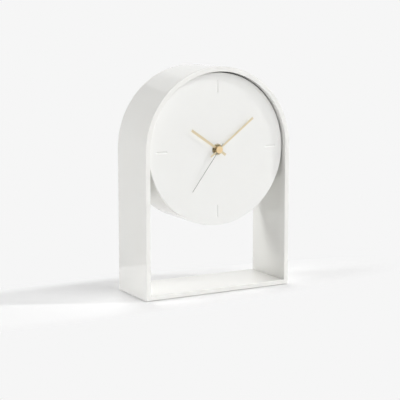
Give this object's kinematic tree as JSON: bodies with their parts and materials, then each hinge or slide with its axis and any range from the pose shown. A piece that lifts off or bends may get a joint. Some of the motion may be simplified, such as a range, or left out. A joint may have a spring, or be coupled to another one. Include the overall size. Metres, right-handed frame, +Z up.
{
  "type": "table clock",
  "caption": "Free-standing table clock: a round dial drum hangs in the top of an open arch frame on a flat base, with a battery quartz movement behind the dial.",
  "frame": {"origin": "on the surface the clock stands on, under the middle of the base", "axes": "+X to the right seen from the front, +Y from the dial to the rear, +Z up"},
  "size_m": [0.217, 0.082, 0.3],
  "materials": {
    "frame_plastic": "glossy white",
    "drum_plastic": "glossy white",
    "dial_plastic": "satin white",
    "cover_plastic": "fine-grained white",
    "strip_plastic": "dark grey, plain",
    "soft_rubber": "dull black",
    "zinc_steel": "zinc plated",
    "housing_plastic": "black, lightly grained",
    "turned_brass": "turned",
    "core_steel": "stamped",
    "gear_plastic": "natural moulded",
    "copper_wire": "enamelled wire",
    "board_laminate": "green lacquer",
    "can_metal": "bright can",
    "chip_resin": "black resin",
    "battery_sleeve": "plain grey sleeve",
    "spring_metal": "nickel plated",
    "magnet": "sintered",
    "knob_plastic": "grooved",
    "gold_metal": "pale gold, satin",
    "pale_metal": "pale grey"
  },
  "bodies": {
    "case": {"arch_frame": "frame_plastic", "foot_pads": "soft_rubber", "dial": "dial_plastic", "drum_case": "drum_plastic", "drum_spacer": "strip_plastic", "drum_screws": "zinc_steel", "movement_front_plate": "housing_plastic", "movement_rear_case": "housing_plastic", "movement_gasket": "soft_rubber", "centre_bush": "turned_brass", "dial_washer": "turned_brass", "fixing_nut": "turned_brass", "stator_plate": "core_steel", "coil_bobbin": "gear_plastic", "coil_winding": "copper_wire", "circuit_board": "board_laminate", "quartz_crystal": "can_metal", "control_chip": "chip_resin", "positive_contact": "spring_metal", "negative_contact": "spring_metal"},
    "cover": {"rear_cover": "cover_plastic"},
    "cell": {"battery": "battery_sleeve"},
    "rotor": {"rotor_pinion": "gear_plastic", "rotor_magnet": "magnet"},
    "intermediate": {"intermediate_wheel": "gear_plastic"},
    "seconds": {"second_wheel": "gear_plastic", "second_hand": "pale_metal", "second_cap": "gold_metal"},
    "third": {"third_wheel": "gear_plastic"},
    "minutes": {"centre_wheel": "gear_plastic", "cannon_pinion": "turned_brass", "minute_hand": "gold_metal"},
    "motion": {"motion_wheel": "gear_plastic", "setting_knob": "knob_plastic"},
    "hours": {"hour_wheel": "gear_plastic", "hour_hand": "gold_metal"}
  },
  "joints": [
    {"name": "second_hand_turn", "type": "hinge", "parent": "case", "child": "seconds", "pos_m": [0, 0, 0.1915], "axis": [0, 1, 0], "continuous": true},
    {"name": "rotor_turn", "type": "hinge", "parent": "case", "child": "rotor", "pos_m": [0.0036, 0, 0.20694], "axis": [0, 1, 0], "continuous": true},
    {"name": "intermediate_turn", "type": "hinge", "parent": "case", "child": "intermediate", "pos_m": [0, 0, 0.2007], "axis": [0, 1, 0], "continuous": true},
    {"name": "third_turn", "type": "hinge", "parent": "case", "child": "third", "pos_m": [-0.00865, 0, 0.19465], "axis": [0, 1, 0], "continuous": true},
    {"name": "minute_hand_turn", "type": "hinge", "parent": "case", "child": "minutes", "pos_m": [0, 0, 0.1915], "axis": [0, 1, 0], "continuous": true},
    {"name": "setting_knob_turn", "type": "hinge", "parent": "case", "child": "motion", "pos_m": [0.00865, 0, 0.19465], "axis": [0, 1, 0], "continuous": true},
    {"name": "hour_hand_turn", "type": "hinge", "parent": "case", "child": "hours", "pos_m": [0, 0, 0.1915], "axis": [0, 1, 0], "continuous": true},
    {"name": "rear_cover_pull", "type": "slide", "parent": "case", "child": "cover", "axis": [0, 1, 0], "range_m": [0, 0.03]},
    {"name": "battery_pull", "type": "slide", "parent": "case", "child": "cell", "axis": [0, 1, 0], "range_m": [0, 0.02]}
  ],
  "couplings": [
    {"joint": "rotor_turn", "follows": "second_hand_turn", "ratio": 30},
    {"joint": "intermediate_turn", "follows": "second_hand_turn", "ratio": -6},
    {"joint": "third_turn", "follows": "second_hand_turn", "ratio": -0.125},
    {"joint": "minute_hand_turn", "follows": "second_hand_turn", "ratio": 0.016667},
    {"joint": "setting_knob_turn", "follows": "second_hand_turn", "ratio": -0.0055556},
    {"joint": "hour_hand_turn", "follows": "second_hand_turn", "ratio": 0.0013889}
  ]
}
